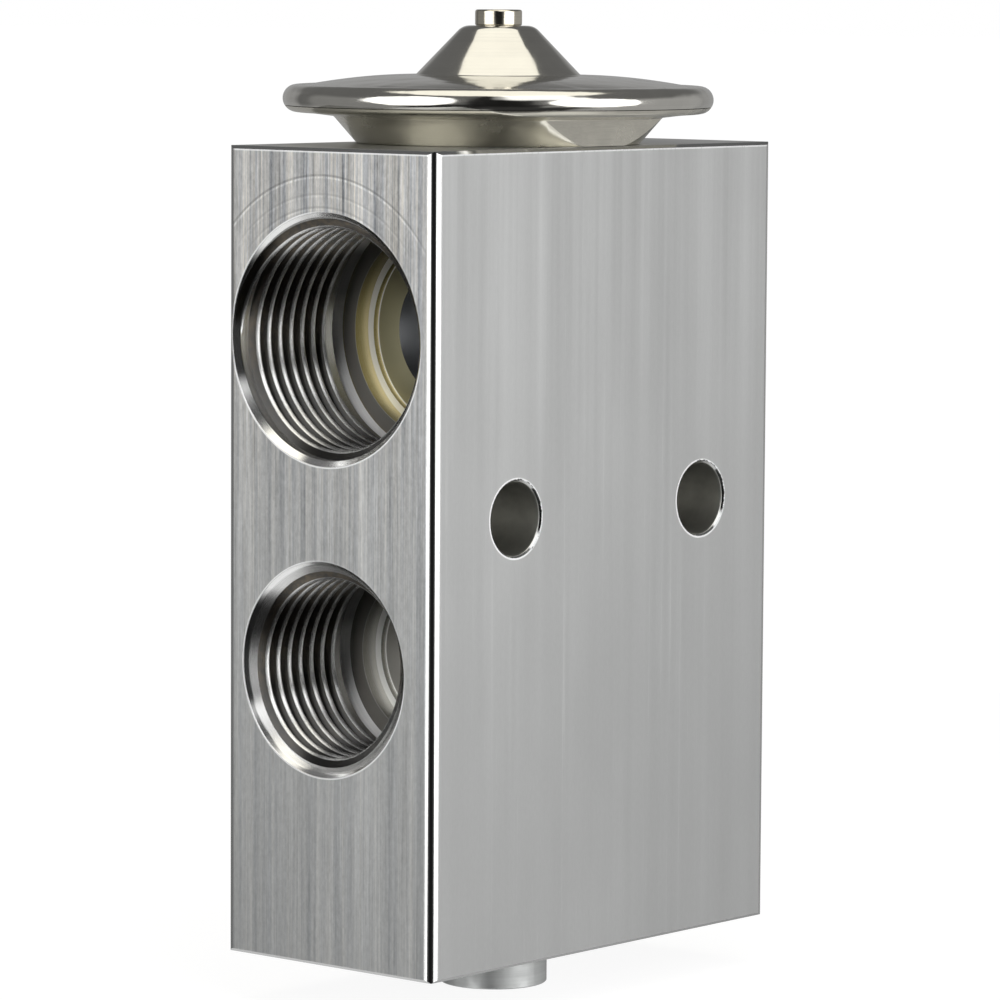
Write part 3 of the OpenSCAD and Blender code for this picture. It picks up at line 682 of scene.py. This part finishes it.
def make_materials():
    """One finish for each slot of the record."""
    steel = (0.60, 0.585, 0.55)
    return {
        "block_aluminium": block_material(),
        "head_steel": turned_metal("head_steel", (0.69, 0.665, 0.585), 0.22, dent=0.14),
        "cover_nickel": turned_metal("cover_nickel", (0.66, 0.645, 0.60), 0.12, 0.03, 4.0, 0.2, 0.16),
        "diaphragm_steel": turned_metal("diaphragm_steel", steel, 0.2),
        "tube_steel": turned_metal("tube_steel", (0.6, 0.56, 0.47), 0.15, dent=0.15),
        "plug_steel": turned_metal("plug_steel", (0.42, 0.4, 0.36), 0.35),
        "disc_steel": turned_metal("disc_steel", (0.56, 0.56, 0.55), 0.28),
        "seal_rubber": soft_material("seal_rubber", (0.02, 0.02, 0.02), 0.6),
        "rod_aluminium": turned_metal("rod_aluminium", (0.66, 0.66, 0.65), 0.2),
        "pin_steel": turned_metal("pin_steel", (0.6, 0.6, 0.6), 0.12),
        "washer_plastic": soft_material("washer_plastic", (0.8, 0.78, 0.7), 0.4),
        "retainer_steel": turned_metal("retainer_steel", (0.5, 0.51, 0.53), 0.25),
        "seat_brass": turned_metal("seat_brass", (0.74, 0.58, 0.3), 0.2),
        "ball_steel": turned_metal("ball_steel", (0.7, 0.7, 0.7), 0.05),
        "carrier_brass": turned_metal("carrier_brass", (0.72, 0.56, 0.3), 0.25),
        "spring_steel": turned_metal("spring_steel", (0.45, 0.45, 0.46), 0.3),
        "nut_aluminium": turned_metal("nut_aluminium", (0.58, 0.59, 0.585), 0.55, 0.05, 5.0, 0.2),
    }


MATERIALS = make_materials()


def dress(piece, slot):
    """Gives a piece the finish of a slot."""
    piece.data.materials.clear()
    piece.data.materials.append(MATERIALS[slot])


for subpart in frame["record"]["subparts"]:
    dress(frame["nodes"][subpart["node"]], subpart["material_slot"])


# Pieces added to the frame

# Faces that turn from each other by more than this, in degrees, meet in a sharp edge
SHARP_ANGLE = 28


def solid(name, verts, faces, slot):
    """A closed mesh in millimetres, smooth except at its sharp edges."""
    mesh = bpy.data.meshes.new(name)
    mesh.from_pydata([Vector(v) * MM for v in verts], [], faces)
    piece = bpy.data.objects.new(name, mesh)
    bpy.context.scene.collection.objects.link(piece)
    smooth(mesh)
    dress(piece, slot)
    return piece


def smooth(mesh):
    """Shades a mesh smooth except at its sharp edges."""
    mesh.shade_smooth()
    mesh.set_sharp_from_angle(angle=math.radians(SHARP_ANGLE))


def wound(name, verts, ring, slot):
    """A closed solid from rings of points that follow each other along a wound line."""
    faces = []
    last = len(verts) - ring
    for start in range(0, last, ring):
        for k in range(ring):
            n = (k + 1) % ring
            faces.append((start + k, start + n, start + ring + n, start + ring + k))
    faces.append(tuple(reversed(range(ring))))
    faces.append(tuple(range(last, last + ring)))
    piece = solid(name, verts, faces, slot)
    fix_normals(piece.data)
    return piece


def fix_normals(mesh):
    """Turns every face outwards."""
    work = bmesh.new()
    work.from_mesh(mesh)
    bmesh.ops.recalc_face_normals(work, faces=work.faces)
    work.to_mesh(mesh)
    work.free()


# A thread's ridge: its section as distance along the port and height, its steps in a turn, how far
# it sinks below the wall at its ends, and how many turns it takes to grow and to fade
THREAD_PITCH = 1.5
RIDGE_HEIGHT = 0.541 * THREAD_PITCH
RIDGE_HALF = [(-0.66, -0.02), (-0.295, 0.595), (-0.26, 0.635), (-0.16, 0.715), (-0.04, 0.8)]
RIDGE = RIDGE_HALF + [(0.0, RIDGE_HEIGHT)] + [(-u, v) for u, v in reversed(RIDGE_HALF)]
TURN_STEPS = 120
END_DEPTH = RIDGE_HEIGHT + 0.6
GROW_TURNS = 0.3
FADE_TURNS = 0.25
SKIN = 0.03

# Each thread's port, the depths at which it starts and ends, and that of a crest on its left
THREADS = {
    "suction_front_thread": ("suction_front_port", 0.5, 12.5, 2.2),
    "suction_rear_thread": ("suction_rear_port", 1.1, 12.5, 2.0),
    "outlet_thread": ("outlet_port", 0.6, 11.7, 1.6),
    "inlet_thread": ("inlet_port", 1.1, 10.1, 2.2),
}


def wall_radius(mount, depth):
    """The port's own radius at a depth, through its bevel and its seat cone."""
    mouth, bevel = PORTS[mount][:2]
    bore = MOUNTS[mount]["dims"]["r_mm"]
    if depth < bevel:
        return mouth - depth
    if depth < SEAT_DEPTH:
        return mouth - bevel + (bore - mouth + bevel) * (depth - bevel) / (SEAT_DEPTH - bevel)
    return bore


def port_thread(name, mount, start, end, crest):
    """A port's thread as one ridge wound on the wall, with a crest at that depth on its left."""
    out = Vector(MOUNTS[mount]["axis"])
    bore = MOUNTS[mount]["dims"]["r_mm"]
    centre = mount_mm(mount)
    centre.y = FRONT_Y if out.y < 0 else BACK_Y
    right = Vector((-out.y, 0, 0))
    turns = (end - start) / THREAD_PITCH
    steps = round(turns * TURN_STEPS)
    phase = math.pi + math.tau * (crest - start) / THREAD_PITCH
    verts = []
    for i in range(steps + 1):
        t = turns * i / steps
        grown = min(1.0, t / GROW_TURNS, (turns - t) / FADE_TURNS)
        sunk = END_DEPTH * (1 - grown * grown * (3 - 2 * grown))
        angle = phase - math.tau * t
        spoke = right * math.cos(angle) + Vector((0, 0, math.sin(angle)))
        for along, rise in RIDGE:
            depth = max(start + THREAD_PITCH * t + along, SKIN)
            reach = min(bore - rise + sunk, wall_radius(mount, depth) + SKIN)
            verts.append(centre - out * depth + spoke * reach)
    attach(wound(name, verts, len(RIDGE), "block_aluminium"), "root")


for name, settings in THREADS.items():
    port_thread(name, *settings)


# The head: outlines turned round the valve axis, as radius and height above the block's top
HEAD_STEPS = 256


def arc(centre, radius, start, stop, steps):
    """Points of an arc, with its angles in degrees."""
    points = []
    for i in range(steps + 1):
        a = math.radians(start + (stop - start) * i / steps)
        points.append((centre[0] + radius * math.cos(a), centre[1] + radius * math.sin(a)))
    return points


def lathe(name, outline, slot):
    """A closed outline, counterclockwise, turned round the valve axis."""
    verts, faces = [], []
    count = len(outline)
    for i in range(HEAD_STEPS):
        a = math.tau * i / HEAD_STEPS
        for r, z in outline:
            verts.append((r * math.cos(a), AXIS_Y + r * math.sin(a), BLOCK_TOP + z))
    for i in range(HEAD_STEPS):
        j = (i + 1) % HEAD_STEPS
        for k in range(count):
            n = (k + 1) % count
            faces.append((i * count + k, j * count + k, j * count + n, i * count + n))
    piece = solid(name, verts, faces, slot)
    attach(piece, "root")
    return piece


# The bead's centre and radius, how far the wrench flats lie from the axis, the level they end at,
# and the depth, reach and width of what is cut away beside them
RIM = (18.92, 4.16)
RIM_ARC = 1.28
FLAT_X = 12.95
LEDGE = 2.48
CUT_DEPTH = 9
CUT_REACH = 10
CUT_WIDTH = 60


def make_cover():
    """The domed cover: rolled bead, flat dome, and a cone with a rounded shoulder."""
    dome = [(18.3 - 9.4 * i / 16, 6.4 - 1.04 * (1 - i / 16) ** 1.7) for i in range(17)]
    outline = (arc(RIM, RIM_ARC, -29.5, 96, 30) + [(18.55, 5.37)] + dome
               + arc((7.9, 6.75), 0.35, 270, 222.7, 5) + arc((2.7, 9.5), 1.5, 42.7, 90, 14)
               + [(1.52, 11.0), (1.52, 10.1), (2.1, 10.1), (6.52, 5.5), (11.8, 5.38), (15.8, 4.15),
                  (16.1, 3.65), (19.04, 3.65), (19.04, 3.53)])
    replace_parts(lathe("head_cover_skin", outline, "cover_nickel"), "head_cover")


def make_housing():
    """The lower half of the head: stem, neck with two wrench flats, and the lip under the bead."""
    outline = ([(6.6, -4.2), (9.45, -4.2), (9.95, -3.7), (9.95, 0.43), (12.7, 0.43), (12.72, 0.05),
                (13.26, 0.03), (13.36, 0.1), (15.32, 2.36), (15.5, 2.52), (17.9, 2.82)]
               + arc(RIM, RIM_ARC, -92, -33, 16)
               + [(19.9, 3.5), (15.8, 3.5), (12.9, 2.7), (12.3, 2.3), (12.3, 1.2), (6.6, 1.2)])
    piece = lathe("head_housing_skin", outline, "head_steel")
    work = bmesh.new()
    for side in (-1, 1):
        for corner in bmesh.ops.create_cube(work, size=1)["verts"]:
            x, y, z = corner.co
            corner.co = Vector((side * (FLAT_X + CUT_REACH * (x + 0.5)), CUT_WIDTH * y,
                                BLOCK_TOP + (LEDGE if z > 0 else -CUT_DEPTH))) * MM
    bmesh.ops.recalc_face_normals(work, faces=work.faces)
    cutter_mesh = bpy.data.meshes.new("cutter")
    work.to_mesh(cutter_mesh)
    work.free()
    cutter = bpy.data.objects.new("cutter", cutter_mesh)
    bpy.context.scene.collection.objects.link(cutter)
    cut = piece.modifiers.new("flats", "BOOLEAN")
    cut.object = cutter
    cut.solver = "EXACT"
    graph = bpy.context.evaluated_depsgraph_get()
    shaped = bpy.data.meshes.new_from_object(piece.evaluated_get(graph))
    piece.modifiers.clear()
    bpy.data.objects.remove(cutter)
    piece.data = shaped
    smooth(shaped)
    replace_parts(piece, "head_housing")


def make_tube():
    """The filling tube: a collar with rounded edges on the cone's top."""
    outline = ([(0.9, 8.9), (1.5, 8.9), (1.5, 11.02), (2.1, 11.02), (2.2, 11.12)]
               + arc((1.98, 12.28), 0.22, 0, 90, 8) + [(1.1, 12.5), (0.9, 12.3)])
    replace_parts(lathe("charge_tube_skin", outline, "tube_steel"), "charge_tube")


make_cover()
make_housing()
make_tube()


# The spring, in two halves that meet in its middle
COIL_RADIUS = 3.8
WIRE = 1.0
WIRE_SIDES = 12
COIL_TURNS = 6.5
COIL_GAP = 0.02
HALF_STEPS = 104
spring_low, spring_high = (v.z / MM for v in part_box("superheat_spring"))


def coil_height(turn):
    """Height of the wire's centre after a number of turns, flat for the first and last turn."""
    free = spring_high - spring_low - 3 * WIRE - 2 * COIL_GAP
    rise = min(max((turn - 1) / (COIL_TURNS - 2), 0), 1)
    closed = min(turn, 1) + max(turn - COIL_TURNS + 1, 0)
    return spring_low + WIRE / 2 + rise * free + closed * (WIRE + COIL_GAP)


def coil(name, first, last):
    """The spring's wire from one number of turns to another."""
    verts = []
    for i in range(HALF_STEPS + 1):
        turn = first + (last - first) * i / HALF_STEPS
        a = math.tau * turn
        for k in range(WIRE_SIDES):
            b = math.tau * k / WIRE_SIDES
            r = COIL_RADIUS + WIRE / 2 * math.cos(b)
            z = coil_height(turn) + WIRE / 2 * math.sin(b)
            verts.append((r * math.cos(a), AXIS_Y + r * math.sin(a), z))
    piece = wound(name, verts, WIRE_SIDES, "spring_steel")
    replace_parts(piece, "superheat_spring")
    return piece


lower_half = coil("spring_lower_half", 0, COIL_TURNS / 2)
upper_half = coil("spring_upper_half", COIL_TURNS / 2, COIL_TURNS)
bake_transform(lower_half)
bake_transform(upper_half)
